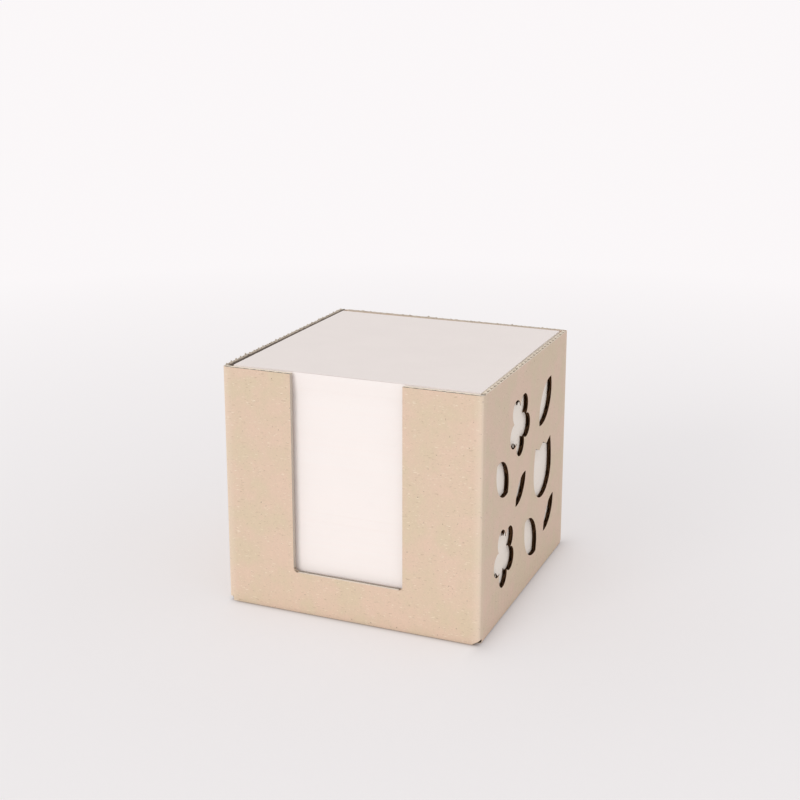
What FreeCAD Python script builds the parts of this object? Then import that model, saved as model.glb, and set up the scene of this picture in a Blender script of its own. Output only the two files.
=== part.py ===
# Memo sheet holder: a cube folded from thin corrugated board, filled with loose square sheets.
# Millimetres. X runs to the right, Y to the back and Z up. The origin is the middle of the base.
import FreeCAD, Part
import os

import Sketcher

SIZES = {
    # the sheets that the holder is made for
    "sheet_width": 90.0,
    "sheet_depth": 90.0,
    "sheet_thickness": 0.1,
    "pile_height": 84.2,
    # the board and its glue
    "liner_thickness": 0.2,
    "medium_thickness": 0.2,
    "flute_height": 1.2,
    "flute_pitch": 3.33,
    "glue_film": 0.1,
    "fold_radius": 1.1,
    # play between the sheets and the walls
    "sheet_clearance": 0.1,
    "right_play": 1.0,
    "back_play": 2.2,
    # window for a finger in the front wall
    "window_width": 41.5,
    "window_offset": -1.1,
    "window_sill": 15.0,
    "window_radius": 1.5,
    # small corner cut at the foot of the front wall
    "corner_cut_width": 3.0,
    "corner_cut_height": 2.0,
    # seam flap, glued inside the left wall
    "seam_flap_width": 22.0,
    "seam_flap_end_gap": 4.0,
    "seam_flap_taper": 3.0,
    # floor
    "tuck_drop": 2.0,
    "tuck_clearance": 0.1,
    "floor_side_clearance": 0.3,
    "under_flap_end_clearance": 0.2,
    "under_flap_gap": 1.0,
    "glue_inset": 5.0,
}

# Flowers in the right wall: middle of the flower from the middle of the wall, towards the back
# and up, then the radius of a petal, how far out it sits, and the flower's turn in degrees.
FLOWERS = {
    "high_flower": (-9.06, 22.68, 4.4, 7.15, 56.0),
    "low_flower": (-24.34, -20.61, 4.3, 7.0, 44.0),
}

# Leaves and seeds: middle of the leaf, its length, its tilt in degrees, and the swell of its
# two edges, first the edge on the left of its direction.
LEAVES = {
    "high_leaf": (20.97, 23.18, 21.05, 49.4, 5.2, 6.2),
    "middle_leaf": (-7.17, -1.72, 15.0, 42.0, 3.5, 3.3),
    "low_leaf": (28.3, -22.98, 16.7, 44.5, 3.5, 3.9),
    "high_seed": (-27.79, 8.5, 17.9, -47.6, 5.6, 5.6),
    "low_seed": (6.12, -25.07, 21.2, -49.4, 6.2, 6.2),
}

# Tulip: middle of its cup's rim, the radius of the cup, and its three-pointed top.
SIZES.update({
    "tulip_along": 19.37,
    "tulip_up": -2.82,
    "tulip_radius": 10.9,
    "tulip_tip_reach": 9.24,
    "tulip_tip_height": 10.5,
    "tulip_notch_reach": 4.48,
    "tulip_notch_height": 8.62,
})

for flower, values in FLOWERS.items():
    for word, value in zip(("along", "up", "petal_radius", "petal_reach", "turn"), values):
        SIZES[f"{flower}_{word}"] = value

for leaf, values in LEAVES.items():
    for word, value in zip(("along", "up", "length", "tilt", "left_swell", "right_swell"), values):
        SIZES[f"{leaf}_{word}"] = value

CUT_OVERRUN = 1.0  # how far a cutter runs past both faces of the board
PETALS = 5

doc = FreeCAD.newDocument("MemoSheetHolder")
size = doc.addObject("Spreadsheet::Sheet", "Size")
for row, (name, value) in enumerate(SIZES.items(), start=1):
    size.set(f"A{row}", str(value))
    size.setAlias(f"A{row}", name)
doc.recompute()

# Sizes that follow from the ones above, as expressions.
LINER = "Size.liner_thickness"
FLUTE = "Size.flute_height"
PITCH = "Size.flute_pitch"
GLUE = "Size.glue_film"
BOARD = f"(2 * {LINER} + {FLUTE})"
LEFT_PLAY = f"({BOARD} + {GLUE} + Size.sheet_clearance)"
FRONT_PLAY = f"({BOARD} + Size.tuck_clearance + Size.sheet_clearance)"
WIDTH = f"(2 * {BOARD} + {LEFT_PLAY} + Size.sheet_width + Size.right_play)"
DEPTH = f"(2 * {BOARD} + {FRONT_PLAY} + Size.sheet_depth + Size.back_play)"
FLOOR = f"(2 * {BOARD} + {GLUE})"
HEIGHT = f"({FLOOR} + Size.pile_height)"
# Each fold starts at the board's inner face, so a wall's straight run ends one board short.
HALF_WIDTH = f"({WIDTH} / 2 - {BOARD})"
HALF_DEPTH = f"({DEPTH} / 2 - {BOARD})"

X, Y, Z = FreeCAD.Vector(1, 0, 0), FreeCAD.Vector(0, 1, 0), FreeCAD.Vector(0, 0, 1)
PLIES = ("outer_liner", "fluting", "inner_liner")
nodes = {}


def number(expression):
    return float(size.evalExpression(expression))


def place(item, spot, along, inward):
    # The item's own X lies along the panel and its own Y points into the holder.
    turn = FreeCAD.Rotation(along, inward, along.cross(inward), "XYZ")
    item.Placement = FreeCAD.Placement(FreeCAD.Vector(), turn)
    for letter, value in zip("xyz", spot):
        item.setExpression(f"Placement.Base.{letter}", value)


def origin_part(body, role):
    return next(item for item in body.Origin.OriginFeatures if item.Role == role)


def plane_sketch(body, role):
    sketch = body.newObject("Sketcher::SketchObject", f"{body.Name}_sketch")
    sketch.AttachmentSupport = (origin_part(body, role), [""])
    sketch.MapMode = "FlatFace"
    return sketch


def outline(sketch, corners):
    # Draws one closed outline. Each corner is (x, y) for a straight edge to the next corner, or
    # (x, y, middle) for an arc through the point middle to the next corner. An arc is drawn
    # anticlockwise, so a clockwise one has its ends the other way round.
    vectors = [FreeCAD.Vector(number(x), number(y), 0) for x, y, *_ in corners]
    curves, ends, middles = [], [], []
    for index, (start, corner) in enumerate(zip(vectors, corners)):
        stop = vectors[(index + 1) % len(vectors)]
        if len(corner) == 2:
            curves.append(Part.LineSegment(start, stop))
            ends.append((1, 2))
            continue
        middle = FreeCAD.Vector(number(corner[2][0]), number(corner[2][1]), 0)
        anticlockwise = (middle - start).cross(stop - middle).z > 0
        curves.append(Part.Arc(*((start, middle, stop) if anticlockwise else (stop, middle, start))))
        ends.append((1, 2) if anticlockwise else (2, 1))
        middles.append((index, middle, corner[2]))
    sketch.addGeometry(curves)
    sketch.addGeometry([Part.Point(middle) for _, middle, _ in middles], True)

    rules, values = [], []
    for index, corner in enumerate(corners):
        before = (index - 1) % len(corners)
        joint = (before, ends[before][1], index, ends[index][0])
        rules.append(Sketcher.Constraint("Coincident", *joint))
        pin(rules, values, index, ends[index][0], corner[:2])
    for point, (curve, _, spot) in enumerate(middles, start=len(corners)):
        pin(rules, values, point, 1, spot)
        rules.append(Sketcher.Constraint("PointOnObject", point, 1, curve))
    sketch.addConstraint(rules)
    for index, value in values:
        sketch.setExpression(f"Constraints[{index}]", value)


def pin(rules, values, curve, end, spot):
    for kind, value in zip(("DistanceX", "DistanceY"), spot):
        values.append((len(rules), value))
        rules.append(Sketcher.Constraint(kind, curve, end, number(value)))


def pad(body, sketch, length, reverse=False):
    feature = body.newObject("PartDesign::Pad", f"{body.Name}_pad")
    feature.Profile = sketch
    feature.setExpression("Length", length)
    feature.Reversed = reverse
    return feature


def folded_liner(body, run, length, outer, inner):
    # A liner runs straight to the fold and round it to the next panel. outer and inner are how far
    # its two faces lie from the board's inside. The inner liner has no inner face to bend: it
    # creases sharp.
    start = f"({BOARD} - Size.fold_radius)" if inner else "0"

    def bend(reach):
        spot = f"{start} + ({reach} - {start}) * cos(45)"
        return spot, f"-1 * ({spot})"

    corners = [(f"-{run}", f"-{outer}"), (start, f"-{outer}", bend(outer)), (outer, f"-{start}")]
    if inner:
        corners += [(outer, "0"), (inner, "0"), (inner, f"-{start}", bend(inner))]
        corners += [(start, f"-{inner}"), (f"-{run}", f"-{inner}")]
    else:
        corners += [(f"-{run}", "0")]
    sketch = plane_sketch(body, "XY_Plane")
    outline(sketch, corners)
    pad(body, sketch, length)


def flat_liner(body, run, length, outer, inner):
    sketch = plane_sketch(body, "XY_Plane")
    far, near = f"-{outer}", f"-{inner}" if inner else "0"
    outline(sketch, [(f"-{run}", far), ("0", far), ("0", near), (f"-{run}", near)])
    pad(body, sketch, length)


def flute_corners():
    # One flute is a crest and a trough of equal arcs that meet, in line, half way through the
    # board. Corners are (across, through) with through measured from the middle of the board.
    sway = f"(({FLUTE} - Size.medium_thickness) / 2)"
    half = "(Size.medium_thickness / 2)"
    radius = f"(({PITCH}^2 / 16 + {sway}^2) / (2 * {sway}))"
    lean = f"{half} * {PITCH} / 4 / {radius}"
    rise = f"{half} * ({radius} - {sway}) / {radius}"
    crest, trough = f"0.25 * {PITCH}", f"0.75 * {PITCH}"
    return [
        (f"-1 * {lean}", rise, (crest, f"{sway} + {half}")),
        (f"0.5 * {PITCH} + {lean}", rise, (trough, f"{half} - {sway}")),
        (f"{PITCH} - {lean}", rise),
        (f"{PITCH} + {lean}", f"-1 * {rise}", (trough, f"-{sway} - {half}")),
        (f"0.5 * {PITCH} - {lean}", f"-1 * {rise}", (crest, f"{sway} - {half}")),
        (lean, f"-1 * {rise}"),
    ]


def fluting(body, run, length, upright):
    # Upright flutes stand along the fold. The others run towards it, as they do in a floor
    # flap, because all panels are cut from one board. Returns how far the body's origin lies
    # from the near end of the fold line, along the body's X, Y and Z.
    across = run if upright else length
    count = f"floor({across} / {PITCH})"
    spare = f"({across} - {count} * {PITCH}) / 2"
    sketch = plane_sketch(body, "XY_Plane" if upright else "YZ_Plane")
    outline(sketch, flute_corners() if upright else [turned(c) for c in flute_corners()])
    flute = pad(body, sketch, length if upright else run, reverse=not upright)
    repeat = body.newObject("PartDesign::LinearPattern", f"{body.Name}_repeat")
    repeat.Originals = [flute]
    repeat.Direction = (origin_part(body, "X_Axis" if upright else "Z_Axis"), [""])
    repeat.Mode = "Spacing"
    repeat.setExpression("Offset", PITCH)
    repeat.setExpression("Occurrences", count)
    flute.Refine = repeat.Refine = False
    body.Tip = repeat
    middle = f"-{BOARD} / 2"
    return (f"{spare} - {run}", middle, "0") if upright else ("0", middle, spare)


def turned(corner):
    # the same corner in a sketch whose X goes through the board
    swapped = (corner[1], corner[0])
    return (*swapped, (corner[2][1], corner[2][0])) if len(corner) == 3 else swapped


def shifted(spot, shift, along, inward):
    # spot moved by shift, which is measured along the panel's own X, Y and Z
    axes = (along, inward, along.cross(inward))
    moved = []
    for index, value in enumerate(spot):
        terms = [f"{axis[index]:.0f} * ({step})" for axis, step in zip(axes, shift) if axis[index]]
        moved.append(" + ".join([value, *terms]))
    return tuple(moved)


def panel(name, spot, along, inward, run, length, upright=True, folded=True, cutter=None):
    # The three plies of one panel. spot is the near end of its fold line.
    radii = {"outer_liner": (BOARD, f"({BOARD} - {LINER})"), "inner_liner": (LINER, None)}
    for ply in PLIES:
        label = f"{name}_{ply}"
        body = doc.addObject("PartDesign::Body", f"{label}_blank" if cutter else label)
        ply_spot = spot
        if ply == "fluting":
            ply_spot = shifted(spot, fluting(body, run, length, upright), along, inward)
        else:
            (folded_liner if folded else flat_liner)(body, run, length, *radii[ply])
        place(body, ply_spot, along, inward)
        nodes[label] = cut(label, body, cutter) if cutter else body


def cut(label, body, cutter):
    result = doc.addObject("Part::Cut", label)
    result.Base, result.Tool = body, cutter
    return result


def wall_cutter(name, spot, along, outlines):
    # Outlines drawn on a wall's outer face, X along the wall and Y up, and cut right through it.
    cutters = []
    for word, corners in outlines.items():
        sketch = doc.addObject("Sketcher::SketchObject", f"{word}_outline")
        place(sketch, spot, along, Z)
        outline(sketch, corners)
        cutter = doc.addObject("Part::Extrusion", f"{word}_cutter")
        cutter.Base, cutter.DirMode, cutter.Solid = sketch, "Normal", True
        cutter.LengthFwd = CUT_OVERRUN
        cutter.setExpression("LengthRev", f"{BOARD} + {CUT_OVERRUN}")
        cutters.append(cutter)
    together = doc.addObject("Part::Compound", name)
    together.Links = cutters
    return together


def window_outline():
    radius, sill = "Size.window_radius", "Size.window_sill"
    left = "(Size.window_offset - Size.window_width / 2)"
    right = "(Size.window_offset + Size.window_width / 2)"
    top = f"{HEIGHT} + {CUT_OVERRUN}"
    swing = f"{radius} * (1 - cos(45))"
    return [
        (left, top),
        (left, f"{sill} + {radius}", (f"{left} + {swing}", f"{sill} + {swing}")),
        (f"{left} + {radius}", sill),
        (f"{right} - {radius}", sill, (f"{right} - {swing}", f"{sill} + {swing}")),
        (right, f"{sill} + {radius}"),
        (right, top),
    ]


def corner_cut_outline():
    edge, over = f"{WIDTH} / 2", CUT_OVERRUN
    inner_foot = f"{edge} - Size.corner_cut_width"
    return [
        (inner_foot, "0"),
        (inner_foot, f"-{over}"),
        (f"{edge} + {over}", f"-{over}"),
        (f"{edge} + {over}", "Size.corner_cut_height"),
        (edge, "Size.corner_cut_height"),
    ]


def flower_outline(name):
    # Five petals, each the outside of a circle, meet in notches between them.
    along, up, turn = f"Size.{name}_along", f"Size.{name}_up", f"Size.{name}_turn"
    radius, reach = f"Size.{name}_petal_radius", f"Size.{name}_petal_reach"
    half = f"{180 / PETALS}"
    notch = f"({reach} * cos({half}) + sqrt({radius}^2 - ({reach} * sin({half}))^2))"
    corners = []
    for petal in range(PETALS):
        tip = f"({turn} + {petal * 360 / PETALS})"
        side = f"({tip} - {half})"
        top = f"({reach} + {radius})"
        middle = (f"{along} + {top} * cos({tip})", f"{up} + {top} * sin({tip})")
        start = (f"{along} + {notch} * cos({side})", f"{up} + {notch} * sin({side})")
        corners.append((*start, middle))
    return corners


def leaf_outline(name):
    # Two arcs between two points.
    tilt, half = f"Size.{name}_tilt", f"Size.{name}_length / 2"

    def spot(ahead, left):
        x = f"Size.{name}_along + {ahead} * cos({tilt}) - {left} * sin({tilt})"
        y = f"Size.{name}_up + {ahead} * sin({tilt}) + {left} * cos({tilt})"
        return x, y

    root, tip = spot(f"-1 * {half}", "0"), spot(half, "0")
    left = spot("0", f"Size.{name}_left_swell")
    right = spot("0", f"-1 * Size.{name}_right_swell")
    return [(*root, right), (*tip, left)]


def tulip_outline():
    # A round cup, sides that curve in to two tips, and a third tip between two notches.
    radius, reach = "Size.tulip_radius", "Size.tulip_tip_reach"
    height, notch = "Size.tulip_tip_height", "Size.tulip_notch_reach"

    def spot(across, up):
        return f"Size.tulip_along + {across}", f"Size.tulip_up + {up}"

    # the side is an arc that starts straight up at the cup's rim
    draw_in = f"({radius} - {reach})"
    bend = f"(({height}^2 + {draw_in}^2) / (2 * {draw_in}))"
    middle_up = f"({height} / 2)"
    middle_reach = f"({radius} - {bend} + sqrt({bend}^2 - {middle_up}^2))"
    return [
        (*spot(radius, "0"), spot(middle_reach, middle_up)),
        spot(reach, height),
        spot(notch, "Size.tulip_notch_height"),
        spot("0", height),
        spot(f"-1 * {notch}", "Size.tulip_notch_height"),
        (*spot(f"-1 * {reach}", height), spot(f"-1 * {middle_reach}", middle_up)),
        (*spot(f"-1 * {radius}", "0"), spot("0", f"-1 * {radius}")),
    ]


def seam_flap_outlines():
    # What is taken off both ends of the seam flap, so that it tapers and stays out of sight.
    gap, taper, over = "Size.seam_flap_end_gap", "Size.seam_flap_taper", CUT_OVERRUN
    free = f"Size.seam_flap_width + {over}"
    slope = f"{gap} + {taper} * ({free}) / Size.seam_flap_width"
    return {
        "seam_top": [
            ("0", f"{HEIGHT} - {gap}"),
            (free, f"{HEIGHT} - ({slope})"),
            (free, f"{HEIGHT} + {over}"),
            ("0", f"{HEIGHT} + {over}"),
        ],
        "seam_foot": [
            ("0", f"{FLOOR} + {gap}"),
            ("0", f"{FLOOR} - {over}"),
            (free, f"{FLOOR} - {over}"),
            (free, f"{FLOOR} + {slope}"),
        ],
    }


def box(label, corner, sides):
    item = doc.addObject("Part::Box", label)
    for letter, value in zip("xyz", corner):
        item.setExpression(f"Placement.Base.{letter}", value)
    for side, value in zip(("Length", "Width", "Height"), sides):
        item.setExpression(side, value)
    nodes[label] = item


# Walls, anticlockwise from the front. Each carries the upright fold at its far end, and stands
# on what is folded out below it: nothing at the front, an under flap at the sides, and the
# under flaps, their glue and the floor panel's fold at the back.
run_across = f"(2 * {HALF_WIDTH})"
run_deep = f"(2 * {HALF_DEPTH})"
seam_inset = f"({BOARD} + {GLUE})"

front_cutter = wall_cutter(
    "front_cutter", ("0", f"-{DEPTH} / 2", "0"), X,
    {"window": window_outline(), "corner": corner_cut_outline()},
)
right_outlines = {name: flower_outline(name) for name in FLOWERS}
right_outlines.update({name: leaf_outline(name) for name in LEAVES})
right_outlines["tulip"] = tulip_outline()
right_cutter = wall_cutter(
    "right_cutter", (f"{WIDTH} / 2", "0", f"{HEIGHT} / 2"), Y, right_outlines
)

panel(
    "front_wall", (HALF_WIDTH, f"-{HALF_DEPTH}", "0"), X, Y,
    run_across, HEIGHT, cutter=front_cutter,
)
panel(
    "right_wall", (HALF_WIDTH, HALF_DEPTH, BOARD), Y, -X,
    run_deep, f"({HEIGHT} - {BOARD})", cutter=right_cutter,
)
panel(
    "back_wall", (f"{seam_inset} - {HALF_WIDTH}", HALF_DEPTH, FLOOR), -X, -Y,
    f"({run_across} - {seam_inset})", f"({HEIGHT} - {FLOOR})",
)
panel(
    "left_wall", (f"-{HALF_WIDTH}", f"-{HALF_DEPTH}", BOARD), -Y, X,
    f"({run_deep} + {BOARD})", f"({HEIGHT} - {BOARD})",
)

# The seam flap goes on from the back wall's fold, flat against the left wall.
seam_end = f"({HALF_DEPTH} - Size.seam_flap_width)"
seam_cutter = wall_cutter(
    "seam_cutter", (f"{GLUE} - {HALF_WIDTH}", HALF_DEPTH, "0"), -Y, seam_flap_outlines()
)
panel(
    "seam_flap", (f"{seam_inset} - {HALF_WIDTH}", seam_end, FLOOR), -Y, X,
    "Size.seam_flap_width", f"({HEIGHT} - {FLOOR})", folded=False, cutter=seam_cutter,
)
seam_end_loss = "(Size.seam_flap_end_gap + Size.seam_flap_taper)"
box(
    "seam_glue",
    (f"-{HALF_WIDTH}", f"{seam_end} + Size.seam_flap_taper", f"{FLOOR} + {seam_end_loss}"),
    (GLUE, "Size.seam_flap_width - 2 * Size.seam_flap_taper",
     f"{HEIGHT} - {FLOOR} - 2 * {seam_end_loss}"),
)

# The floor: a panel folded in from the back wall, and its tuck flap behind the front wall.
floor_side = f"({HALF_WIDTH} - Size.floor_side_clearance)"
tuck_fold = f"(Size.tuck_clearance + {BOARD} - {HALF_DEPTH})"
panel(
    "floor_panel", (f"-{floor_side}", HALF_DEPTH, FLOOR), Y, Z,
    f"({HALF_DEPTH} - {tuck_fold})", f"(2 * {floor_side})", upright=False,
)
panel(
    "tuck_flap", (f"-{floor_side}", tuck_fold, FLOOR), -Z, Y,
    f"(Size.window_sill - Size.tuck_drop - {FLOOR})", f"(2 * {floor_side})", upright=False,
)

# The under flaps fold in from the side walls and are glued under the floor panel.
under_side = f"({HALF_DEPTH} - Size.under_flap_end_clearance)"
under_run = f"({HALF_WIDTH} - Size.under_flap_gap / 2)"
panel(
    "right_under_flap", (HALF_WIDTH, under_side, BOARD), X, Z,
    under_run, f"(2 * {under_side})", upright=False,
)
panel(
    "left_under_flap", (f"-{HALF_WIDTH}", f"-{under_side}", BOARD), -X, Z,
    under_run, f"(2 * {under_side})", upright=False,
)
glue_start = "Size.glue_inset"
glue_run = f"({under_run} - 2 * Size.glue_inset)"
glue_depth = f"(2 * ({under_side} - Size.glue_inset))"
glue_front = f"-{glue_depth} / 2"
box(
    "right_flap_glue", (f"Size.under_flap_gap / 2 + {glue_start}", glue_front, BOARD),
    (glue_run, glue_depth, GLUE),
)
box(
    "left_flap_glue", (f"-Size.under_flap_gap / 2 - {glue_start} - {glue_run}", glue_front, BOARD),
    (glue_run, glue_depth, GLUE),
)

# The sheets: a pile, and the loose sheet on top of it.
sheet_left = f"{LEFT_PLAY} - {HALF_WIDTH}"
sheet_front = f"{FRONT_PLAY} - {HALF_DEPTH}"
pile = "(Size.pile_height - Size.sheet_thickness)"
box(
    "sheet_pile", (sheet_left, sheet_front, FLOOR),
    ("Size.sheet_width", "Size.sheet_depth", pile),
)
box(
    "top_sheet", (sheet_left, sheet_front, f"{FLOOR} + {pile}"),
    ("Size.sheet_width", "Size.sheet_depth", "Size.sheet_thickness"),
)

doc.recompute()

for item in doc.Objects:
    if "Invalid" in item.State or "Error" in item.State:
        raise RuntimeError(f"{item.Name} failed: {item.State}")

os.makedirs("parts", exist_ok=True)
for label, item in nodes.items():
    item.Label = label
    if item.Shape.isNull() or not item.Shape.isValid():
        raise RuntimeError(f"{label} has no valid shape")
    item.Shape.exportStep(f"parts/{label}.step")
    print(f"{label}: {len(item.Shape.Solids)} solid, {item.Shape.Volume:.1f} mm3")
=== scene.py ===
# Memo sheet holder: thin corrugated board folded round a pile of loose sheets. Blender works in
# metres with Z up; the dictionaries give lengths in millimetres unless a note says otherwise.
import math

import bpy
import numpy as np
from mathutils import Matrix, Vector


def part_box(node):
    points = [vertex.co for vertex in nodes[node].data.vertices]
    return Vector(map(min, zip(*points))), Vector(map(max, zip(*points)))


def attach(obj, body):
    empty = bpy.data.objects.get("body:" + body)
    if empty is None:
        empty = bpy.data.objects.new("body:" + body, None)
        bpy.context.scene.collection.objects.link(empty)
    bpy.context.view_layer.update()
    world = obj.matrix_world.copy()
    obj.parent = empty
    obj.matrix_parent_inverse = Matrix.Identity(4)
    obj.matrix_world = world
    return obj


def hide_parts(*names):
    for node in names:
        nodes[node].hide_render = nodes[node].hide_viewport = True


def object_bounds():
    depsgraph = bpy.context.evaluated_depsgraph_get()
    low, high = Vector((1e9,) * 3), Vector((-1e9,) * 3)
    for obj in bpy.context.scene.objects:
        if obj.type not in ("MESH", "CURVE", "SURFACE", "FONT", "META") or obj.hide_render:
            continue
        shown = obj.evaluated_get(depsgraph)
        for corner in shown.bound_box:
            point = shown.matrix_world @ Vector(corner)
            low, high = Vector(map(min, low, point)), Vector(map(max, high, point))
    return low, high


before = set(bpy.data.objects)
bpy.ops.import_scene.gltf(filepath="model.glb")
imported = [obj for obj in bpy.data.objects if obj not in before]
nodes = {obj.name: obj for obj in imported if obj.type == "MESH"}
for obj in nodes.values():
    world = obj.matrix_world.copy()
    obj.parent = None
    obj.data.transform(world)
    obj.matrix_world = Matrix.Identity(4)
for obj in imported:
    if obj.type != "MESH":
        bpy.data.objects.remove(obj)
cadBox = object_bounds()
mm = 0.001
colourA, colourB, colourOut = 6, 7, 2  # a Mix node's sockets when it mixes colours
print("frame loaded:", len(nodes), "nodes")


# colours, nodes and meshes
def toLinear(code):
    # an sRGB hex code as linear red, green, blue and alpha
    channels = np.array([int(code[i:i + 2], 16) for i in (1, 3, 5)]) / 255
    linear = np.where(channels <= 0.04045, channels / 12.92, ((channels + 0.055) / 1.055) ** 2.4)
    return (*linear.tolist(), 1.0)


def addNode(tree, kind, inputs=None, **settings):
    # One node. Settings are its own properties; inputs are values or the outputs linked to them.
    node = tree.nodes.new(kind)
    for name, value in settings.items():
        setattr(node, name, value)
    for name, value in (inputs or {}).items():
        if isinstance(value, bpy.types.NodeSocket):
            tree.links.new(value, node.inputs[name])
        else:
            node.inputs[name].default_value = value
    return node


def newMaterial(name):
    material = bpy.data.materials.new(name)
    material.use_nodes = True
    material.node_tree.nodes.clear()
    return material, material.node_tree


def fillRamp(ramp, places, tones):
    # Hex colours at their places on a colour ramp, which starts with two stops of its own.
    elements = ramp.color_ramp.elements
    while len(elements) < len(places):
        elements.new(0.5)
    for element, place, tone in zip(elements, places, tones):
        element.position = place
        element.color = toLinear(tone)
    return ramp.outputs["Color"]


def addPiece(name, points, faces, tone, material, body, replaced=()):
    # A piece with flat faces of four corners. The last axis of points is x, y and z in
    # millimetres, tone is one number per face, and replaced are the CAD nodes it stands for.
    mesh = bpy.data.meshes.new(name)
    points = np.reshape(points, (-1, 3)) * mm
    mesh.vertices.add(len(points))
    mesh.vertices.foreach_set("co", points.ravel())
    mesh.loops.add(faces.size)
    mesh.loops.foreach_set("vertex_index", faces.ravel())
    mesh.polygons.add(len(faces))
    mesh.polygons.foreach_set("loop_start", np.arange(0, faces.size, 4))
    mesh.polygons.foreach_set("use_smooth", np.zeros(len(faces), bool))
    mesh.update(calc_edges=True)
    mesh.attributes.new("tone", "FLOAT", "FACE").data.foreach_set("value", np.ravel(tone))
    mesh.validate()
    mesh.materials.append(material)
    piece = bpy.data.objects.new(name, mesh)
    bpy.context.scene.collection.objects.link(piece)
    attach(piece, body)
    if replaced:
        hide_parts(*replaced)


def corners(node):
    # a CAD node's lowest and highest corner in millimetres
    return [np.array(corner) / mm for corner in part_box(node)]


def gridFaces(rows, columns, flip=False):
    # Quads between the points of a rows x columns grid, in row order. They face the way that the
    # direction of the columns, crossed with that of the rows, points; flip turns them over.
    corner = np.arange(rows * columns).reshape(rows, columns)
    quads = np.stack([corner[:-1, 1:], corner[1:, 1:], corner[1:, :-1], corner[:-1, :-1]], -1)
    quads = quads.reshape(-1, 4)
    return quads[:, ::-1] if flip else quads


def smoothStep(value, low, high):
    # 0 below low, 1 above high and 3s^2 - 2s^3 between them
    share = np.clip((value - low) / (high - low), 0, 1)
    return share * share * (3 - 2 * share)


def wander(count, reach, seed):
    # Smooth random values from -1 to 1, one for each of count steps: random numbers blurred by a
    # cosine window that is reach steps wide.
    loose = np.random.default_rng(seed).uniform(-1, 1, count + 2 * reach)
    window = 1 - np.cos(np.linspace(0, 2 * math.pi, reach + 2))[1:-1]
    smooth = np.convolve(loose, window / window.sum(), "same")[reach:reach + count]
    return smooth / max(np.abs(smooth).max(), 1e-9)


# Unbleached kraft liner: machine-made paper of long wood fibres, calendered but not coated, so it
# is matt, cloudy in tone from the pulp, and strewn with paler fibres and darker shives.
board = {
    "thickness": 1.6,
    "liner": 0.2,
    "flutePitch": 3.33,
    "clouds": ("#dcc8ae", "#dfc7b0", "#e2c7b2"),
    "shadeSideClouds": ("#decbb4", "#e1cab6", "#e4cab8"),  # a little paler and bluer: painted cool shade on the right wall, which the key light doesn't reach
    "medium": ("#b39a7f", "#bba287", "#c0a58c"),  # the coarser paper of the flutes
    "cloudPlaces": (0.36, 0.5, 0.64),
    "cloudSize": 9.0,
    "grainSize": 0.55,
    "grainTone": (0.965, 1.03),
    "grainHeight": 0.03,
    "washboard": 0.012,  # how high the flutes stand out under the liner
    # sets of fibres: colour, turn (radians), shift (metres), and the noise above which they show
    "fibres": (("#f3e4d0", (0.5, 0.9, 0.35), (0.0, 0.007, 0.021), 0.76),
               ("#f3e4d0", (-0.8, 0.3, -1.1), (0.013, 0.007, 0.021), 0.76),
               ("#c3ab92", (1.2, -0.5, 0.8), (0.026, 0.007, 0.021), 0.74)),
    "fibreLength": 1.7,
    "fibreWidth": 0.42,
    "fibreEdge": 0.06,
    "fibreStrength": 0.65,
    "fleck": "#6f5844",
    "fleckSize": 0.75,
    "fleckNoise": (0.8, 0.86),
    "fleckStrength": 0.6,
    # a painted highlight along the folds and on the walls close beside them
    "foldHighlight": "#efdfce",
    "foldHighlightBend": (0.02, 0.5),
    "foldHighlightStrength": 0.45,
    "besideFoldHighlight": (3.6, 0.8),  # how far from a fold the painted highlight starts, and where it is full
    "besideFoldHighlightStrength": 0.3,
    # painted shade on faces that look down at the table
    "underShade": "#927d69",
    "underShadeSlope": (-0.25, -0.5),
    "underShadeStrength": 0.8,
    "burnt": ("#2c1a0b", "#5f3f20"),
    "burntTurn": 0.7,  # a face whose normal has less than this along X is the side of a cut
    "burntDepth": 0.05,  # how deep the liners' inner faces are burnt
    "unburntFold": 2.6,  # a laser cuts nothing this near to a fold
    "unburntRim": 0.5,
    "roughness": 0.86,
    "gloss": 0.25,
}


def strewFibres(tree, place, colour):
    # Threads of stretched noise, each set lying its own way, and dark flecks of bark among them.
    lengthwise, sideways = (1 / (board[size] * mm) for size in ("fibreLength", "fibreWidth"))
    for tint, turn, shift, level in board["fibres"]:
        laid = addNode(tree, "ShaderNodeMapping", {
            "Vector": place, "Location": shift, "Rotation": turn,
            "Scale": (lengthwise, sideways, sideways)})
        threads = addNode(tree, "ShaderNodeTexNoise", {
            "Vector": laid.outputs["Vector"], "Scale": 1.0, "Detail": 1.0, "Roughness": 0.4})
        shown = addNode(tree, "ShaderNodeMapRange", {
            "Value": threads.outputs["Fac"], "From Min": level - board["fibreEdge"],
            "From Max": level, "To Max": board["fibreStrength"]})
        colour = addNode(tree, "ShaderNodeMix", {
            "Factor": shown.outputs["Result"], colourA: colour, colourB: toLinear(tint)},
            data_type="RGBA").outputs[colourOut]
    flecks = addNode(tree, "ShaderNodeTexNoise", {
        "Vector": place, "Scale": 1 / (board["fleckSize"] * mm), "Detail": 0.0})
    shown = addNode(tree, "ShaderNodeMapRange", {
        "Value": flecks.outputs["Fac"], "From Min": board["fleckNoise"][0],
        "From Max": board["fleckNoise"][1], "To Max": board["fleckStrength"]})
    return addNode(tree, "ShaderNodeMix", {
        "Factor": shown.outputs["Result"], colourA: colour, colourB: toLinear(board["fleck"])},
        data_type="RGBA").outputs[colourOut]


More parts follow.
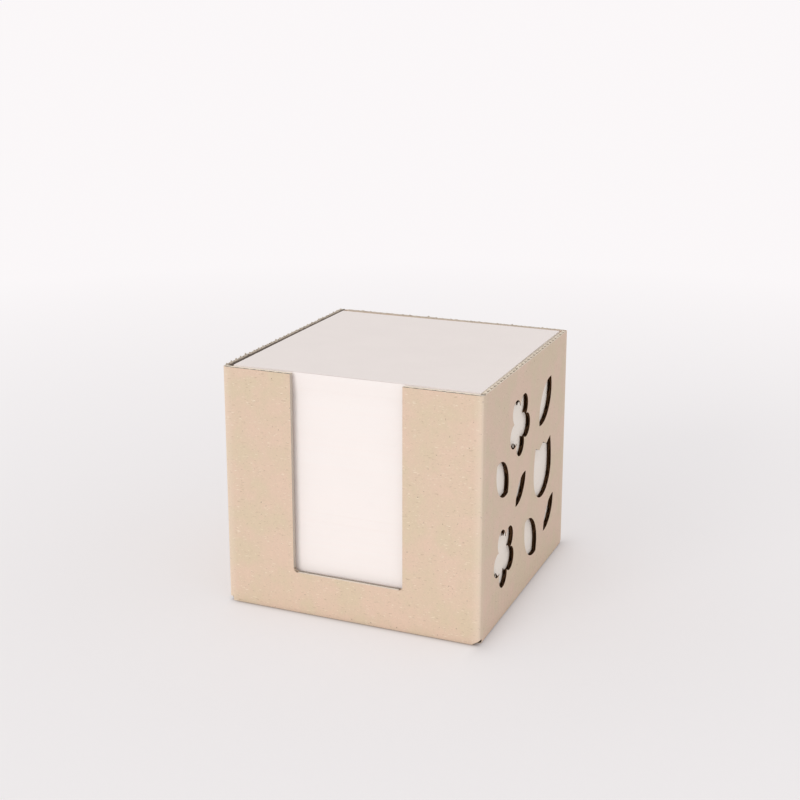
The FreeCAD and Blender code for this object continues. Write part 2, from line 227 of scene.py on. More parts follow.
def highlightFolds(tree, aside, facing, colour):
    # A painted highlight makes the outside of a fold a little paler, and the wall beside it too.
    # facing holds the parts x, y and z of the normal without their signs, and aside those of the
    # place: x * y + z * (x + y) of the normal is 0 on a flat wall and not on a fold.
    level = addNode(tree, "ShaderNodeMath", {0: facing.outputs["X"], 1: facing.outputs["Y"]})
    bent = addNode(tree, "ShaderNodeMath", {0: facing.outputs["Z"], 1: level.outputs["Value"]},
                   operation="MULTIPLY")
    bent = addNode(tree, "ShaderNodeMath", {
        0: facing.outputs["X"], 1: facing.outputs["Y"], 2: bent.outputs["Value"]},
        operation="MULTIPLY_ADD")
    pale = addNode(tree, "ShaderNodeMapRange", {
        "Value": bent.outputs["Value"], "From Min": board["foldHighlightBend"][0],
        "From Max": board["foldHighlightBend"][1], "To Max": board["foldHighlightStrength"]}).outputs["Result"]
    start, full = (distance * mm for distance in board["besideFoldHighlight"])
    for wall, near, fold in (("Y", "X", cadBox[1][0]), ("X", "Y", cadBox[1][1])):
        besideFoldHighlight = addNode(tree, "ShaderNodeMapRange", {
            "Value": aside.outputs[near], "From Min": fold - start, "From Max": fold - full,
            "To Max": board["besideFoldHighlightStrength"]})
        besideFoldHighlight = addNode(tree, "ShaderNodeMath", {
            0: facing.outputs[wall], 1: besideFoldHighlight.outputs["Result"]}, operation="MULTIPLY")
        pale = addNode(tree, "ShaderNodeMath", {
            0: pale, 1: besideFoldHighlight.outputs["Value"]}, operation="MAXIMUM").outputs["Value"]
    return addNode(tree, "ShaderNodeMix", {
        "Factor": pale, colourA: colour, colourB: toLinear(board["foldHighlight"])},
        data_type="RGBA").outputs[colourOut]


def charCuts(tree, place, aside, facing, grain, colour):
    # The laser chars the sides of the cut-outs in the right wall: faces that don't look along X
    # and whatever lies between the liners, below the rim and short of the folds.
    low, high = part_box("right_wall_fluting")
    spot = addNode(tree, "ShaderNodeSeparateXYZ", {"Vector": place})
    turned = addNode(tree, "ShaderNodeMath", {0: facing.outputs["X"], 1: board["burntTurn"]},
                     operation="LESS_THAN")
    inside = addNode(tree, "ShaderNodeMath", {
        0: spot.outputs["X"], 1: (low[0] + high[0]) / 2,
        2: (high[0] - low[0]) / 2 + board["burntDepth"] * mm}, operation="COMPARE")
    charred = addNode(tree, "ShaderNodeMath", {
        0: turned.outputs["Value"], 1: inside.outputs["Value"]}, operation="MAXIMUM")
    for height, limit in ((spot.outputs["Z"], high[2] - board["unburntRim"] * mm),
                          (aside.outputs["Y"], cadBox[1][1] - board["unburntFold"] * mm)):
        within = addNode(tree, "ShaderNodeMath", {0: height, 1: limit}, operation="LESS_THAN")
        charred = addNode(tree, "ShaderNodeMath", {
            0: charred.outputs["Value"], 1: within.outputs["Value"]}, operation="MULTIPLY")
    soot = addNode(tree, "ShaderNodeMix", {
        "Factor": grain, colourA: toLinear(board["burnt"][0]),
        colourB: toLinear(board["burnt"][1])}, data_type="RGBA").outputs[colourOut]
    return addNode(tree, "ShaderNodeMix", {
        "Factor": charred.outputs["Value"], colourA: colour, colourB: soot},
        data_type="RGBA").outputs[colourOut]


def makeBoard(name, across, pulp=board["clouds"], burnt=False):
    # across is the axis that the flutes repeat along and pulp the tones of the clouds; burnt chars
    # what a laser has cut
    material, tree = newMaterial(name)
    place = addNode(tree, "ShaderNodeTexCoord").outputs["Object"]
    cloud = addNode(tree, "ShaderNodeTexNoise", {
        "Vector": place, "Scale": 1 / (board["cloudSize"] * mm), "Detail": 3.0, "Roughness": 0.55})
    colour = fillRamp(addNode(tree, "ShaderNodeValToRGB", {"Fac": cloud.outputs["Fac"]}),
                      board["cloudPlaces"], pulp)
    grain = addNode(tree, "ShaderNodeTexNoise", {
        "Vector": place, "Scale": 1 / (board["grainSize"] * mm), "Detail": 3.0,
        "Roughness": 0.6}).outputs["Fac"]
    lift = addNode(tree, "ShaderNodeMapRange", {
        "Value": grain, "From Min": 0.3, "From Max": 0.7, "To Min": board["grainTone"][0],
        "To Max": board["grainTone"][1]})
    colour = addNode(tree, "ShaderNodeVectorMath", {0: colour, "Scale": lift.outputs["Result"]},
                     operation="SCALE").outputs["Vector"]
    colour = strewFibres(tree, place, colour)

    normal = addNode(tree, "ShaderNodeNewGeometry").outputs["Normal"]
    aside, facing = (
        addNode(tree, "ShaderNodeSeparateXYZ", {
            "Vector": addNode(tree, "ShaderNodeVectorMath", {0: vector},
                              operation="ABSOLUTE").outputs["Vector"]})
        for vector in (place, normal))
    colour = highlightFolds(tree, aside, facing, colour)
    # faces that look down at the table are darkened with painted shade
    slope = addNode(tree, "ShaderNodeSeparateXYZ", {"Vector": normal}).outputs["Z"]
    shadedBelow = addNode(tree, "ShaderNodeMapRange", {
        "Value": slope, "From Min": board["underShadeSlope"][0], "From Max": board["underShadeSlope"][1],
        "To Max": board["underShadeStrength"]})
    colour = addNode(tree, "ShaderNodeMix", {
        "Factor": shadedBelow.outputs["Result"], colourA: colour, colourB: toLinear(board["underShade"])},
        data_type="RGBA").outputs[colourOut]
    if burnt:
        colour = charCuts(tree, place, aside, facing, grain, colour)

    # the liner follows the flutes under it in a faint washboard
    along = addNode(tree, "ShaderNodeSeparateXYZ", {"Vector": place}).outputs[across]
    turns = addNode(tree, "ShaderNodeMath", {0: along, 1: 2 * math.pi / (board["flutePitch"] * mm)},
                    operation="MULTIPLY")
    ridges = addNode(tree, "ShaderNodeMath", {0: turns.outputs["Value"]}, operation="SINE")
    fine = addNode(tree, "ShaderNodeBump", {
        "Height": grain, "Distance": board["grainHeight"] * mm, "Strength": 0.8})
    bump = addNode(tree, "ShaderNodeBump", {
        "Height": ridges.outputs["Value"], "Distance": board["washboard"] * mm, "Strength": 1.0,
        "Normal": fine.outputs["Normal"]})
    shader = addNode(tree, "ShaderNodeBsdfPrincipled", {
        "Base Color": colour, "Roughness": board["roughness"], "Normal": bump.outputs["Normal"],
        "Specular IOR Level": board["gloss"]})
    addNode(tree, "ShaderNodeOutputMaterial", {"Surface": shader.outputs["BSDF"]})
    return material


linerAcrossX = makeBoard("kraftLinerAcrossX", "X")
linerAcrossY = makeBoard("kraftLinerAcrossY", "Y")
# the right wall's liner: laser char at its cut-outs, and clouds tinted with painted shade
linerLaserCutShadeSide = makeBoard("kraftLinerLaserCutShadeSide", "Y", board["shadeSideClouds"], burnt=True)
medium = makeBoard("flutingMedium", "Z", board["medium"])
mediumLaserCut = makeBoard("flutingMediumLaserCut", "Z", board["medium"], burnt=True)
print("board materials made")


# White wove paper, machine-made and uncoated, a slightly warm matt white. At the sides of the
# pile each sheet's guillotined edge has its own tone.
sheets = {
    "thickness": 0.1,
    "colour": "#faf0ec",
    # the sides' colour, paler and less pink than the faces: painted light on the sides of the pile
    "edge": "#f9f3f0",
    "yellowed": "#fdf1e2",
    "fibreSize": 0.35,
    "fibreHeight": 0.01,
    "cloudSize": 12.0,
    "cloudTone": (0.985, 1.01),
    "roughness": 0.72,
    # tone of the cut edges: the usual one, which brings in the painted light of the sides, how far
    # each sheet's is off it, and its slow drift
    "edgeTone": 0.55,
    "edgeSpread": 0.20,
    "edgeDrift": 0.10,
    # how far each sheet lies off its place, how far the pile wanders, and the few strays
    "sloppiness": 0.012,
    "drift": 0.10,
    "strays": 7,
    "strayReach": 0.06,
    # the whole pile: how much higher it stands in front and behind, how far it leans and slips
    # forward, how much wider it is, and its twist in degrees, each from a height up
    "rise": 0.45,
    "riseBehind": 0.65,
    "lean": 0.8,
    "leanFrom": 13.0,
    "leanTo": 14.8,
    "slip": 0.7,
    "slipFrom": 78.0,
    "wider": 0.95,
    "twist": 0.12,
    "twistFrom": 55.0,
    "topCells": 48,
    "topShift": (0.02, 0.03),
    "wave": 0.12,
    "seed": 11,
}


def makePaper():
    # Fine pulp and wide clouds of it change the white a little. The attribute tone goes from the
    # sheet's colour at 0 to the paler, less pink one of the pile's sides at 1, which holds painted
    # light, and above 1 on to the yellowed one.
    material, tree = newMaterial("wovePaper")
    place = addNode(tree, "ShaderNodeTexCoord").outputs["Object"]
    pulp = addNode(tree, "ShaderNodeTexNoise", {
        "Vector": place, "Scale": 1 / (sheets["fibreSize"] * mm), "Detail": 3.0})
    cloud = addNode(tree, "ShaderNodeTexNoise", {
        "Vector": place, "Scale": 1 / (sheets["cloudSize"] * mm), "Detail": 2.0})
    both = addNode(tree, "ShaderNodeMath", {0: pulp.outputs["Fac"], 1: cloud.outputs["Fac"]})
    lift = addNode(tree, "ShaderNodeMapRange", {
        "Value": both.outputs["Value"], "From Min": 0.7, "From Max": 1.3,
        "To Min": sheets["cloudTone"][0], "To Max": sheets["cloudTone"][1]})
    colour = addNode(tree, "ShaderNodeVectorMath", {
        0: toLinear(sheets["colour"])[:3], "Scale": lift.outputs["Result"]},
        operation="SCALE").outputs["Vector"]
    tone = addNode(tree, "ShaderNodeAttribute", attribute_name="tone")
    for tint, start in (("edge", 0.0), ("yellowed", 1.0)):
        share = addNode(tree, "ShaderNodeMath", {0: tone.outputs["Fac"], 1: start},
                        operation="SUBTRACT", use_clamp=True)
        colour = addNode(tree, "ShaderNodeMix", {
            "Factor": share.outputs["Value"], colourA: colour, colourB: toLinear(sheets[tint])},
            data_type="RGBA").outputs[colourOut]
    bump = addNode(tree, "ShaderNodeBump", {
        "Height": pulp.outputs["Fac"], "Distance": sheets["fibreHeight"] * mm, "Strength": 0.6})
    shader = addNode(tree, "ShaderNodeBsdfPrincipled", {
        "Base Color": colour, "Roughness": sheets["roughness"], "Normal": bump.outputs["Normal"]})
    addNode(tree, "ShaderNodeOutputMaterial", {"Surface": shader.outputs["BSDF"]})
    return material


wovePaper = makePaper()
pileLow, pileHigh = corners("sheet_pile")
pileSize = pileHigh - pileLow


def placeSheets(u, v, height, shiftX, shiftY):
    # Points of the sheet at a height in the CAD pile, at shares u and v of its width and depth.
    # The sheets swell a little to the right. Above the tuck flap they lean towards the front, and
    # the top ones have slipped further that way. From twistFrom up they are turned more and more
    # about their front left corner: a rotation, then the lean and the shifts. They pack loosely,
    # so the pile stands higher than its solid, most of all behind.
    angle = np.radians(sheets["twist"]) * smoothStep(height, sheets["twistFrom"], pileHigh[2])
    x, y = u * (pileSize[0] + sheets["wider"]), v * pileSize[1]
    lean = sheets["lean"] * smoothStep(height, sheets["leanFrom"], sheets["leanTo"])
    lean = lean + sheets["slip"] * smoothStep(height, sheets["slipFrom"], pileHigh[2])
    rise = sheets["rise"] + (sheets["riseBehind"] - sheets["rise"]) * v
    return np.stack([pileLow[0] + x * np.cos(angle) - y * np.sin(angle) + shiftX,
                     pileLow[1] + x * np.sin(angle) + y * np.cos(angle) - lean + shiftY,
                     height + rise * (height - pileLow[2]) / pileSize[2]], -1)


count = int(round(pileSize[2] / sheets["thickness"]))
chance = np.random.default_rng(sheets["seed"])
shiftX = sheets["drift"] * wander(count, reach=60, seed=1) / 2
shiftX = shiftX + sheets["sloppiness"] * chance.uniform(-1, 0, count)
shiftY = sheets["drift"] * (1 + wander(count, reach=45, seed=2)) / 2
shiftY = shiftY + sheets["sloppiness"] * chance.uniform(0, 1, count)
stray = chance.choice(count, sheets["strays"], replace=False)
shiftX[stray] -= sheets["strayReach"] * chance.uniform(0.3, 1, len(stray))
shiftY[stray] += sheets["strayReach"] * chance.uniform(0.3, 1, len(stray))
# each sheet is a thin box: four corners at its bottom and four at its top
cornerU, cornerV = np.array([0, 1, 1, 0]), np.array([0, 0, 1, 1])
bottoms = pileLow[2] + sheets["thickness"] * np.arange(count)
layers = np.stack([bottoms, bottoms + sheets["thickness"]], 1)[..., None]
points = placeSheets(cornerU, cornerV, layers, shiftX[:, None, None], shiftY[:, None, None])
# its bottom, top, front, right, back and left face
boxFaces = np.array([[3, 2, 1, 0], [4, 5, 6, 7], [0, 1, 5, 4], [1, 2, 6, 5], [2, 3, 7, 6],
                     [3, 0, 4, 7]])
faces = (boxFaces[None] + 8 * np.arange(count)[:, None, None]).reshape(-1, 4)
edgeTone = (sheets["edgeTone"] + sheets["edgeSpread"] * chance.uniform(-1, 1, count)
            + sheets["edgeDrift"] * wander(count, reach=25, seed=3))
tone = np.repeat(np.clip(edgeTone, 0, 1), 6).reshape(-1, 6)
tone[:, :2] = 0
tone[:, 3] += 1  # light through the cut-outs has yellowed the right side a little
addPiece("memoPile", points, faces, tone, wovePaper, "pile", ("sheet_pile",))
print("pile laid:", count, "sheets")

# The top sheet is a square grid of points, two layers a sheet's thickness apart, that isn't quite
# flat: it rises by wave * e^3 * (1 - cos(2 pi (0.9 u + 0.7 v + 0.1))) / 2, where e grows from 0 in
# its middle to 1 at its edges.
side = sheets["topCells"] + 1
u, v = np.meshgrid(np.linspace(0, 1, side), np.linspace(0, 1, side))
nearEdge = 2 * np.maximum(np.abs(u - 0.5), np.abs(v - 0.5))
swell = 1 - np.cos(2 * math.pi * (0.9 * u + 0.7 * v + 0.1))
under = placeSheets(u, v, corners("top_sheet")[0][2], *sheets["topShift"])
under[..., 2] += sheets["wave"] * nearEdge ** 3 * swell / 2
over = under + [0, 0, sheets["thickness"]]
index = np.arange(side * side).reshape(side, side)
ring = np.concatenate([index[0], index[1:, -1], index[-1, -2::-1], index[-2:0:-1, 0]])
nextRing = np.roll(ring, -1)
rimFaces = np.stack([ring, nextRing, nextRing + side * side, ring + side * side], -1)
faces = np.concatenate([gridFaces(side, side, flip=True), gridFaces(side, side) + side * side,
                        rimFaces])
addPiece("looseTopSheet", np.stack([under, over]), faces, np.zeros(len(faces)), wovePaper,
         "top_sheet", ("top_sheet",))
print("top sheet laid")


# Cut edges of the board. A knife leaves both liners pressed in and the flutes half closed, with
# fuzz along the cut, so each edge is a strip across the whole board: it stands at the cut where
# there is paper and drops where a flute is still open.
cutEdges = {
    "step": 0.16,
    "acrossSteps": 12,
    "sway": 0.29,  # how far the medium swings from the board's middle, as a share of its thickness
    "hollowFrom": (0.06, 0.14),  # where the hollow beside the medium starts and is full, as shares
    "openDepth": 1.3,
    "fuzz": 0.10,
    "inset": 0.012,  # of the board's thickness
    "skirt": 0.8,
    "shadeBlur": 0.2,
    "soft": ("#e0d1c0", "#f3e9dc"),
    "crisp": ("#fbebd7", "#fff5e6"),
    # the colour of the painted shade in open flutes and along shaded edges
    "hollow": "#3d2a1c",
    "tearSize": 0.3,
    "tearHeight": 0.08,
    "roughness": 0.95,
}


def makeCutEdge(name, colours):
    # Torn kraft fibres: like the liner but rougher, and darkened with painted shade where the
    # attribute tone is high: down in an open flute and along shaded edges.
    material, tree = newMaterial(name)
    place = addNode(tree, "ShaderNodeTexCoord").outputs["Object"]
    torn = addNode(tree, "ShaderNodeTexNoise", {
        "Vector": place, "Scale": 1 / (cutEdges["tearSize"] * mm), "Detail": 3.0})
    colour = fillRamp(addNode(tree, "ShaderNodeValToRGB", {"Fac": torn.outputs["Fac"]}),
                      (0.3, 0.7), colours)
    tone = addNode(tree, "ShaderNodeAttribute", attribute_name="tone")
    colour = addNode(tree, "ShaderNodeMix", {
        "Factor": tone.outputs["Fac"], colourA: colour, colourB: toLinear(cutEdges["hollow"])},
        data_type="RGBA").outputs[colourOut]
    bump = addNode(tree, "ShaderNodeBump", {
        "Height": torn.outputs["Fac"], "Distance": cutEdges["tearHeight"] * mm, "Strength": 1.0})
    shader = addNode(tree, "ShaderNodeBsdfPrincipled", {
        "Base Color": colour, "Roughness": cutEdges["roughness"],
        "Normal": bump.outputs["Normal"]})
    addNode(tree, "ShaderNodeOutputMaterial", {"Surface": shader.outputs["BSDF"]})
    return material


cutBoardEdge = makeCutEdge("cutBoardEdge", cutEdges["soft"])
crispBoardEdge = makeCutEdge("crispBoardEdge", cutEdges["crisp"])
thick = board["thickness"]


def addCutEdge(name, start, along, across, out, length, seed, phase=0.0, openings=(0.0, 0.0),
               fuzz=cutEdges["fuzz"], shade=(0.0, 0.0), shadeWidth=0.4, darkening=0.0, over=0.0,
               tufts=0.0, teeth=0.0, material=cutBoardEdge):
    # A strip on a straight cut. start is the cut's corner on the inner face, along runs down the
    # cut, across goes to the outer face and out leaves the board. A flute starts at phase, and
    # openings are how far the hollows on the inner and outer side of the medium are still open.
    # darkening darkens the whole strip, shade darkens its inner and outer edge over the width
    # shadeWidth as painted shade, and over is how far the strip and its inner skirt lap over the
    # inner liner's face, so that the skirt's painted shade shows in front of it. At s along the cut
    # and t across it the height is fuzz * noise + tufts * n(s)^2 + teeth * worn(s) * c(s)^2 * t
    # - openDepth * hollow(s, t): hollow is 1 between medium and liner, n and worn are slow noise
    # and c is the cosine of the flutes, and n and c are cut off below 0.
    start, along, across, out = (np.asarray(v, float) for v in (start, along, across, out))
    rows = int(length / cutEdges["step"]) + 1
    s = np.linspace(0, length, rows)[:, None]
    # columns at each face of the two liners, close beside their joints with the medium
    liner = board["liner"] / thick
    t = np.concatenate([[0, liner * 0.98],
                        np.linspace(liner * 1.02, 1 - liner * 1.02, cutEdges["acrossSteps"]),
                        [1 - liner * 0.98, 1]])[None]

    def slowNoise(reach, number):
        # noise down the cut alone, the same across it
        return wander(rows, reach, seed + number)[:, None]

    turns = 2 * math.pi * (s - phase) / board["flutePitch"]
    wave = 0.5 - cutEdges["sway"] * np.sin(turns)
    hollow = np.maximum(smoothStep(wave - t, *cutEdges["hollowFrom"]) * openings[0],
                        smoothStep(t - wave, *cutEdges["hollowFrom"]) * openings[1])
    uneven = 0.65 + 0.35 * slowNoise(14, 1)
    hollow = np.where((t > liner) & (t < 1 - liner), hollow, 0) * uneven
    rough = np.random.default_rng(seed).uniform(0, 1, (rows, t.shape[1])) * 0.5
    rough = rough + 0.25 + 0.25 * slowNoise(9, 2)
    worn = 0.6 + 0.4 * slowNoise(30, 4)
    height = fuzz * rough - cutEdges["openDepth"] * hollow
    height = height + tufts * np.clip(slowNoise(7, 3), 0, 1) ** 2
    height = height + teeth * worn * np.clip(np.cos(turns), 0, 1) ** 2 * t

    inset = cutEdges["inset"] * thick
    width = np.minimum(t * thick, thick - inset)
    width[:, 0] = -over if over else inset
    points = start + s[..., None] * along + width[..., None] * across + height[..., None] * out
    # skirts down both sides keep the strip closed against the liners
    skirt = points[:, [0, -1]] - cutEdges["skirt"] * out
    points = np.concatenate([skirt[:, :1], points, skirt[:, 1:]], 1)
    faces = gridFaces(*points.shape[:2], flip=np.dot(np.cross(across, along), out) < 0)

    depth = t * thick
    dark = hollow + darkening + shade[0] * smoothStep(shadeWidth - depth, 0, cutEdges["shadeBlur"])
    dark = dark + shade[1] * smoothStep(shadeWidth - thick + depth, 0, cutEdges["shadeBlur"])
    dark = np.pad(dark, ((0, 0), (1, 1)), "edge")
    tone = np.clip((dark[:-1, :-1] + dark[1:, 1:]) / 2, 0, 1)
    addPiece(name, points, faces, tone, material, "holder")


top = corners("front_wall_outer_liner")[1][2]
left, front = corners("left_wall_outer_liner")[0][0], corners("front_wall_outer_liner")[0][1]
right, back = corners("right_wall_outer_liner")[1][0], corners("back_wall_outer_liner")[1][1]
window = {"left": -21.85, "right": 19.65, "sill": 15.0, "radius": 1.5}
# each wall's inner face, the way along its rim and the way to its outer face
walls = {
    "front_wall": (front + thick, (1, 0, 0), (0, -1, 0)),
    "right_wall": (right - thick, (0, 1, 0), (1, 0, 0)),
    "back_wall": (back - thick, (1, 0, 0), (0, 1, 0)),
    "left_wall": (left + thick, (0, 1, 0), (-1, 0, 0)),
}
cornerGap = 1.15  # the front rims reach this close to the corners
seamGap = 1.7  # the seam flap lies between the left wall and the back rim
# the front rims' outer edge carries a thin dark line of painted shade
frontWearAndShade = {"openings": (0.0, 0.1), "shade": (0.0, 0.85), "shadeWidth": 0.68,
             "material": crispBoardEdge}
# each rim's wall, where it starts and ends, and its wear and painted shade
rims = {
    "frontRimLeft": ("front_wall", left + cornerGap, window["left"], frontWearAndShade),
    "frontRimRight": ("front_wall", window["right"], right - cornerGap, frontWearAndShade),
    "rightRim": ("right_wall", front + thick, back - thick, {
        "openings": (0.0, 0.8), "darkening": 0.12, "fuzz": 0.25, "tufts": 0.3,
        "material": crispBoardEdge}),
    # the back rim is darkened all over with painted shade
    "backRim": ("back_wall", left + thick + seamGap, right - thick, {
        "openings": (0.2, 0.3), "darkening": 0.15, "fuzz": 0.2, "tufts": 0.6}),
    # the left rim's inner edge, and the skirt that laps over the inner liner, carry painted shade
    # of the narrow gap beside the pile
    "leftRim": ("left_wall", front + thick, back, {
        "openings": (0.35, 0.6), "shade": (0.7, 0.0), "shadeWidth": 0.5, "darkening": 0.08,
        "fuzz": 0.3, "over": 0.05, "tufts": 0.4, "teeth": 0.65}),
}
for number, (name, (wall, first, last, wearAndShade)) in enumerate(rims.items()):
    inner, along, across = walls[wall]
    axis = along.index(1)
    start = (inner, first, top) if axis else (first, inner, top)
    addCutEdge(name, start, along, across, (0, 0, 1), last - first, 40 + 5 * number,
               phase=corners(f"{wall}_fluting")[0][axis] - first, **wearAndShade)

# the window's sill and jambs, between its rounded corners
inner, along, across = walls["front_wall"]
sillFrom, sillTo = window["left"] + window["radius"], window["right"] - window["radius"]
# the sill's inner edge carries painted shade of the gap behind it
addCutEdge("windowSillEdge", (sillFrom, inner, window["sill"]), along, across, (0, 0, 1),
           sillTo - sillFrom, 80, shade=(0.6, 0.0), shadeWidth=0.8)
jambFrom = window["sill"] + window["radius"]
# the jambs are darkened all over: partly painted shade, partly the greyer colour of the cut
for name, edge, out, seed in (("windowLeftEdge", "left", 1, 91),
                              ("windowRightEdge", "right", -1, 89)):
    addCutEdge(name, (window[edge], inner, jambFrom), (0, 0, 1), across, (out, 0, 0),
               top - jambFrom, seed, fuzz=0.05, darkening=0.32)

# At the front corners the flutes are crushed flat, so torn paper fills the fold. It is a square of
# (u, v) whose outer corner is drawn in to the bend, (width * u, width * v) - bend * (u * v)^4,
# and it slopes up to the side rim's end by rise * (1 - v)^2 - drop * v, a little unevenly.
folds = {
    "cells": 10,
    "from": 0.4,
    "to": 1.42,
    "bend": 0.26,
    "rise": 0.16,
    "drop": 0.06,
    "rough": 0.03,
    "tone": 0.3,
}
shares = np.linspace(0, 1, folds["cells"] + 1)
u, v = np.meshgrid(shares, shares, indexing="ij")
pull = folds["bend"] * (u * v) ** 4
aside = folds["from"] + (folds["to"] - folds["from"]) * u - pull
ahead = folds["to"] * v - pull
lift = folds["rise"] * (1 - v) ** 2 - folds["drop"] * v
for name, edge, turn, seed in (("frontLeftFold", left, -1, 120), ("frontRightFold", right, 1, 121)):
    uneven = folds["rough"] * np.random.default_rng(seed).uniform(-1, 1, u.shape)
    points = np.stack([edge - turn * (thick - aside), front + thick - ahead,
                       top + (lift + uneven)], -1)
    faces = gridFaces(*u.shape, flip=turn < 0)
    addPiece(name, points, faces, np.full(len(faces), folds["tone"]), cutBoardEdge, "holder")
print("cut edges made")


# Dried starch glue, spread by a roller and hidden between two panels: a dull, slightly yellow film.
glue = {"tones": ("#cbbf9f", "#ddd3b8"), "lumpSize": 2.0, "roughness": 0.5}


def makeGlue():
    material, tree = newMaterial("driedStarchGlue")
    place = addNode(tree, "ShaderNodeTexCoord").outputs["Object"]
    lumps = addNode(tree, "ShaderNodeTexNoise", {
        "Vector": place, "Scale": 1 / (glue["lumpSize"] * mm)})
    colour = fillRamp(addNode(tree, "ShaderNodeValToRGB", {"Fac": lumps.outputs["Fac"]}),
                      (0.3, 0.7), glue["tones"])
    shader = addNode(tree, "ShaderNodeBsdfPrincipled", {
        "Base Color": colour, "Roughness": glue["roughness"]})
    addNode(tree, "ShaderNodeOutputMaterial", {"Surface": shader.outputs["BSDF"]})
    return material


# the finish of each node that stays; the laser has cut the right wall alone
starchGlue = makeGlue()
acrossX = ("front_wall", "back_wall", "floor_panel", "tuck_flap")
for name, node in nodes.items():
    if name.endswith("glue"):
        chosen = starchGlue
    elif name.endswith("fluting"):
        chosen = mediumLaserCut if name.startswith("right_wall") else medium
    elif name.startswith("right_wall"):
        chosen = linerLaserCutShadeSide
    else:
        chosen = linerAcrossX if name.startswith(acrossX) else linerAcrossY
    node.data.materials.clear()
    node.data.materials.append(chosen)
print("nodes dressed")

# Studio: a pale paper sweep as the floor, an even white surround and one soft light from the
# front left. Its floor and distances are in metres, its reaches and blends in millimetres and its
# angles in degrees.
studio = {
    "floorSize": 400.0,
    "paper": "#f9f6f6",
    "glow": "#fdf9fb",
    "glowShare": 0.4,
    "glowStrength": (0.92, 1.25),
    "glowDistance": (0.12, 0.62),
    "contact": "#877260",
    "contactReach": 1.0,
    "contactShare": 0.95,
    "sideReach": 4.0,
    "sideShare": 0.3,
    "rightBlend": 3.0,
    "leftBlend": 4.0,
    "world": 0.77,  # how bright the surround is as a light
    "sky": 0.96,  # and as it is seen
    "key": 0.27,
    "keyAzimuth": -22,
    "keyHeight": 13,
    "keyWidth": 30,
}


def makeFloor():
    # Matt paper. What the camera sees of it gets lighter with the distance, as a sweep that is
    # lit from behind does, and keeps the shadow of what stands on it. Close to the walls it is
    # darker and takes their colour: share * exp(-distance / reach), with a wide soft shade by the
    # right wall, a narrow dark one by the others and none left of the holder.
    material, tree = newMaterial("studioPaper")
    place = addNode(tree, "ShaderNodeTexCoord").outputs["Object"]
    distance = addNode(tree, "ShaderNodeVectorMath", {0: place}, operation="LENGTH")
    glow = addNode(tree, "ShaderNodeMapRange", {
        "Value": distance.outputs["Value"], "From Min": studio["glowDistance"][0],
        "From Max": studio["glowDistance"][1], "To Min": studio["glowStrength"][0],
        "To Max": studio["glowStrength"][1]})
    foot = (cadBox[1][0], cadBox[1][1], 1.0)  # half the holder's footprint, and above the floor
    beyond = addNode(tree, "ShaderNodeVectorMath", {0: place}, operation="ABSOLUTE")
    beyond = addNode(tree, "ShaderNodeVectorMath", {0: beyond.outputs["Vector"], 1: foot},
                     operation="SUBTRACT")
    beyond = addNode(tree, "ShaderNodeVectorMath", {0: beyond.outputs["Vector"], 1: (0, 0, 0)},
                     operation="MAXIMUM")
    around = addNode(tree, "ShaderNodeVectorMath", {0: beyond.outputs["Vector"]},
                     operation="LENGTH").outputs["Value"]
    shades = []
    for name in ("contact", "side"):
        fall = addNode(tree, "ShaderNodeMath", {0: around, 1: -1 / (studio[name + "Reach"] * mm)},
                       operation="MULTIPLY")
        fall = addNode(tree, "ShaderNodeMath", {0: fall.outputs["Value"]}, operation="EXPONENT")
        shades.append(addNode(tree, "ShaderNodeMath", {
            0: fall.outputs["Value"], 1: studio[name + "Share"]},
            operation="MULTIPLY").outputs["Value"])
    across = addNode(tree, "ShaderNodeSeparateXYZ", {"Vector": place}).outputs["X"]
    toRight = addNode(tree, "ShaderNodeMapRange", {
        "Value": across, "From Min": foot[0] - studio["rightBlend"] * mm, "From Max": foot[0]})
    toLeft = addNode(tree, "ShaderNodeMapRange", {
        "Value": across, "From Min": -foot[0], "From Max": studio["leftBlend"] * mm - foot[0]})
    shade = addNode(tree, "ShaderNodeMix", {
        "Factor": toRight.outputs["Result"], "A": shades[0], "B": shades[1]})
    shade = addNode(tree, "ShaderNodeMath", {
        0: shade.outputs["Result"], 1: toLeft.outputs["Result"]}, operation="MULTIPLY")
    tint = addNode(tree, "ShaderNodeMix", {
        "Factor": shade.outputs["Value"], colourA: (1, 1, 1, 1),
        colourB: toLinear(studio["contact"])}, data_type="RGBA").outputs[colourOut]
    paper, light = (
        addNode(tree, "ShaderNodeVectorMath", {0: tint, 1: toLinear(studio[name])[:3]},
                operation="MULTIPLY").outputs["Vector"] for name in ("paper", "glow"))
    matt = addNode(tree, "ShaderNodeBsdfDiffuse", {"Color": paper})
    light = addNode(tree, "ShaderNodeEmission", {
        "Color": light, "Strength": glow.outputs["Result"]})
    rays = addNode(tree, "ShaderNodeLightPath")
    seen = addNode(tree, "ShaderNodeMath", {
        0: rays.outputs["Is Camera Ray"], 1: rays.outputs["Is Glossy Ray"]}, operation="MAXIMUM")
    share = addNode(tree, "ShaderNodeMath", {0: seen.outputs["Value"], 1: studio["glowShare"]},
                    operation="MULTIPLY")
    both = addNode(tree, "ShaderNodeMixShader", {
        0: share.outputs["Value"], 1: matt.outputs["BSDF"], 2: light.outputs["Emission"]})
    addNode(tree, "ShaderNodeOutputMaterial", {"Surface": both.outputs["Shader"]})
    return material


half = studio["floorSize"] / 2
floorMesh = bpy.data.meshes.new("studioFloor")
floorMesh.from_pydata([(-half, -half, 0), (half, -half, 0), (half, half, 0), (-half, half, 0)], [],
                      [(0, 1, 2, 3)])
floorMesh.materials.append(makeFloor())
floor = bpy.data.objects.new("studioFloor", floorMesh)
bpy.context.scene.collection.objects.link(floor)

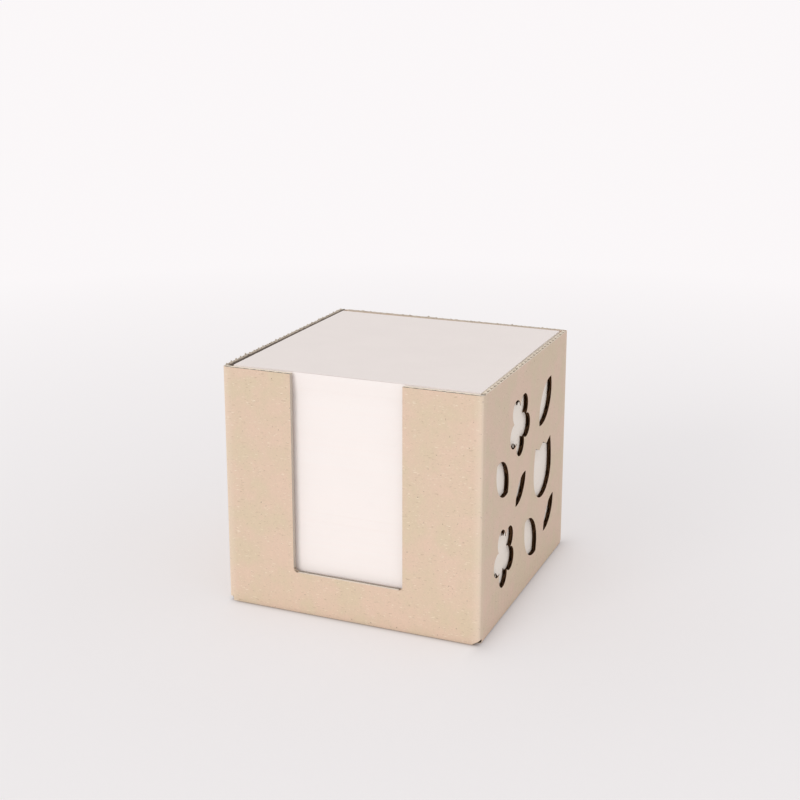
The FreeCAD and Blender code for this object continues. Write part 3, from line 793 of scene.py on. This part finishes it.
world = bpy.data.worlds.new("studio")
bpy.context.scene.world = world
world.use_nodes = True
world.node_tree.nodes.clear()
rays = addNode(world.node_tree, "ShaderNodeLightPath")
strength = addNode(world.node_tree, "ShaderNodeMapRange", {
    "Value": rays.outputs["Is Camera Ray"], "To Min": studio["world"], "To Max": studio["sky"]})
surround = addNode(world.node_tree, "ShaderNodeBackground", {
    "Color": (1, 1, 1, 1), "Strength": strength.outputs["Result"]})
addNode(world.node_tree, "ShaderNodeOutputWorld", {"Surface": surround.outputs["Background"]})

azimuth, height = math.radians(studio["keyAzimuth"]), math.radians(studio["keyHeight"])
toward = Vector((math.sin(azimuth) * math.cos(height), -math.cos(azimuth) * math.cos(height),
                 math.sin(height)))
sun = bpy.data.lights.new("key", "SUN")
sun.energy = math.pi * studio["key"]
sun.angle = math.radians(studio["keyWidth"])
sunObject = bpy.data.objects.new("key", sun)
bpy.context.scene.collection.objects.link(sunObject)
sunObject.rotation_mode = "QUATERNION"
sunObject.rotation_quaternion = toward.to_track_quat("Z", "Y")

# Camera: its turns in degrees, its spot in metres, and its focal length and the row of its axis
# in pixels of a square frame.
view = {"frame": 800, "yaw": -22.716, "pitch": -14.119, "roll": -0.008,
        "spot": (0.184585, -0.444611, 0.211357), "focal": 1359.1, "middleRow": 340}
camera = bpy.data.cameras.new("camera")
camera.sensor_width = 36
camera.lens = view["focal"] * camera.sensor_width / view["frame"]
camera.shift_y = (view["middleRow"] - view["frame"] / 2) / view["frame"]
camera.clip_end = 500
cameraObject = bpy.data.objects.new("camera", camera)
bpy.context.scene.collection.objects.link(cameraObject)
yaw, pitch, roll = (math.radians(view[turn]) for turn in ("yaw", "pitch", "roll"))
cameraObject.matrix_world = (
    Matrix.Translation(view["spot"]) @ Matrix.Rotation(-yaw, 4, "Z")
    @ Matrix.Rotation(math.pi / 2 + pitch, 4, "X") @ Matrix.Rotation(roll, 4, "Z"))
bpy.context.scene.camera = cameraObject
bpy.context.scene.view_settings.view_transform = "Standard"
print("studio set")
